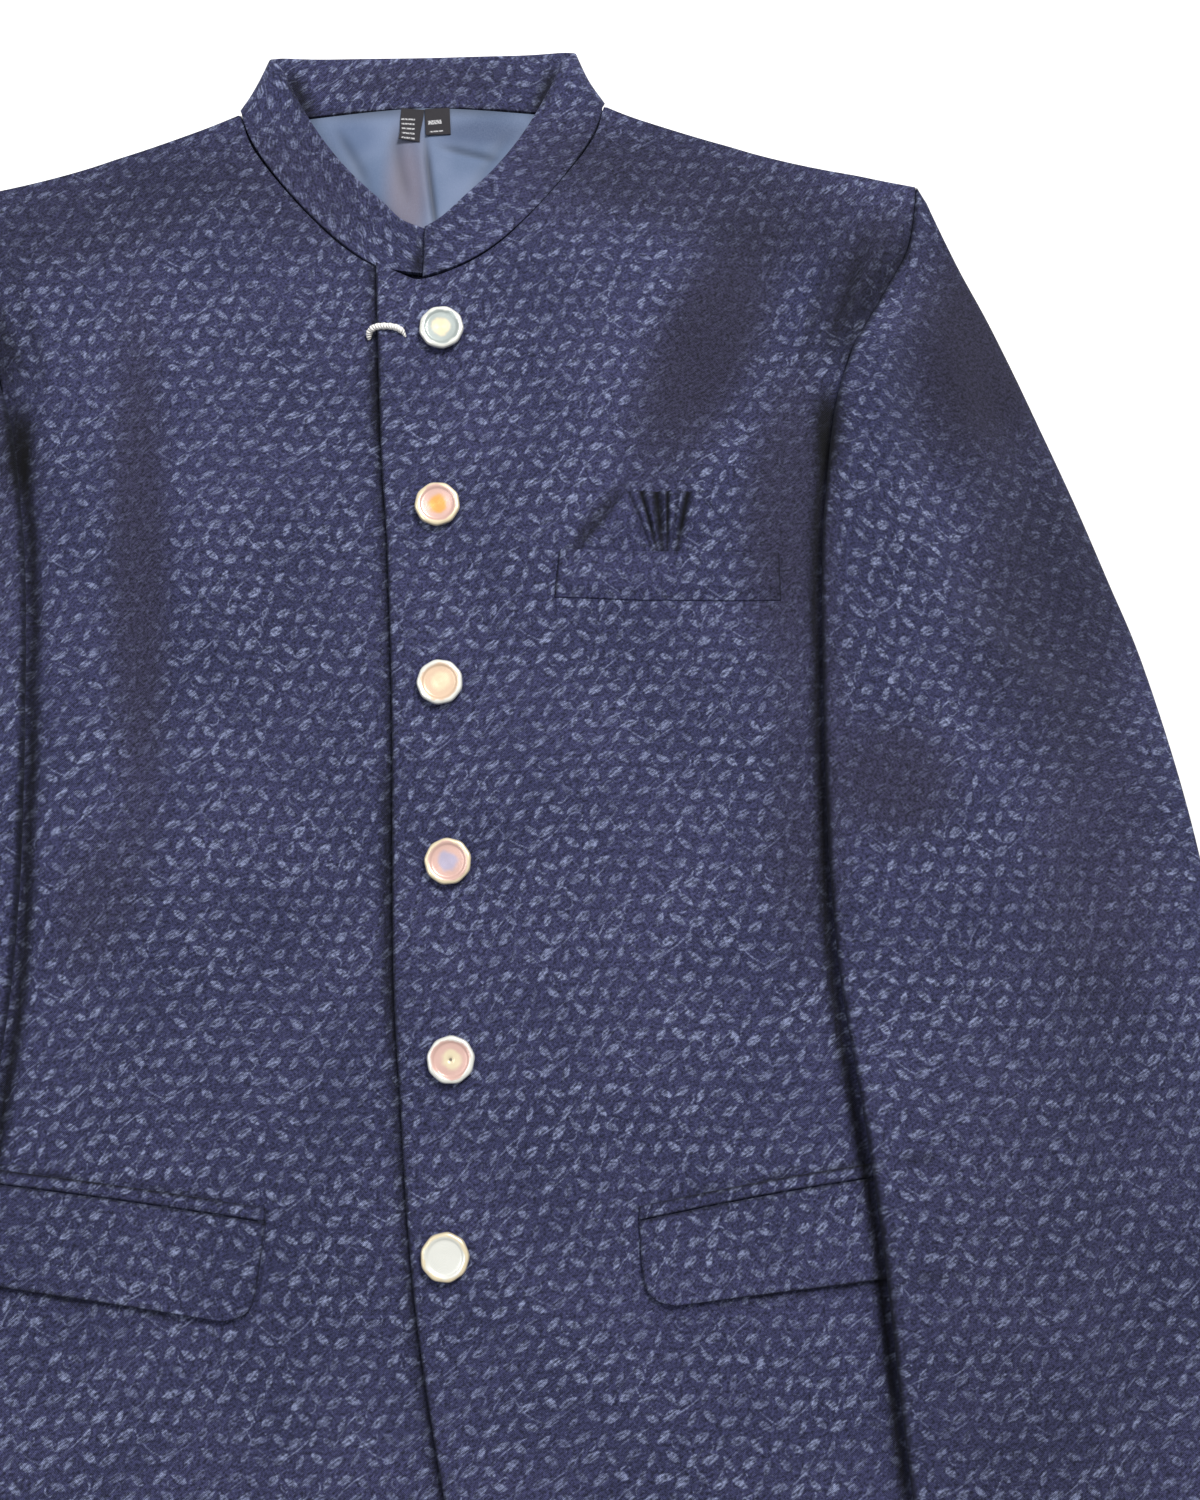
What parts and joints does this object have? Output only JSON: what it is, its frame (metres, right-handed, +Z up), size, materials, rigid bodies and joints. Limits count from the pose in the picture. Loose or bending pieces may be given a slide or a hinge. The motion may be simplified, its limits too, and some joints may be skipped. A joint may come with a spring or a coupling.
{
  "type": "bandhgala jacket laid flat",
  "caption": "Band-collared men's jacket laid flat, front up: lapped buttoned front, welt and flap pockets, two-piece sleeves over the sides.",
  "frame": {"origin": "middle of the jacket's outline, on the surface that it lies on", "axes": "+X to the wearer's left, +Y from hem to collar, +Z up out of the front"},
  "size_m": [0.698, 0.7895, 0.0181],
  "materials": {
    "cloth": "navy jacquard suiting with a tone-on-tone leaf sprig, soft matt face with a slight sheen in the leaves",
    "lining": "steel-blue satin, smooth and softly shiny",
    "label": "black woven label with plain light bars",
    "thread": "white thread",
    "button": "polished silvery ringed metal with warm and cool tints"
  },
  "bodies": {
    "root": {"back": "cloth", "lining_back": "lining", "label_care": "label", "label_size": "label", "front_left": "cloth", "front_right": "cloth", "collar": "cloth", "sleeve_left_under": "cloth", "sleeve_left_top": "cloth", "sleeve_right_under": "cloth", "sleeve_right_top": "cloth", "pocket_welt": "cloth", "pocket_square": "cloth", "flap_left": "cloth", "jet_left": "cloth", "flap_right": "cloth", "jet_right": "cloth", "button_1": "button", "button_2": "button", "button_3": "button", "button_4": "button", "button_5": "button", "button_6": "button"}
  },
  "joints": []
}
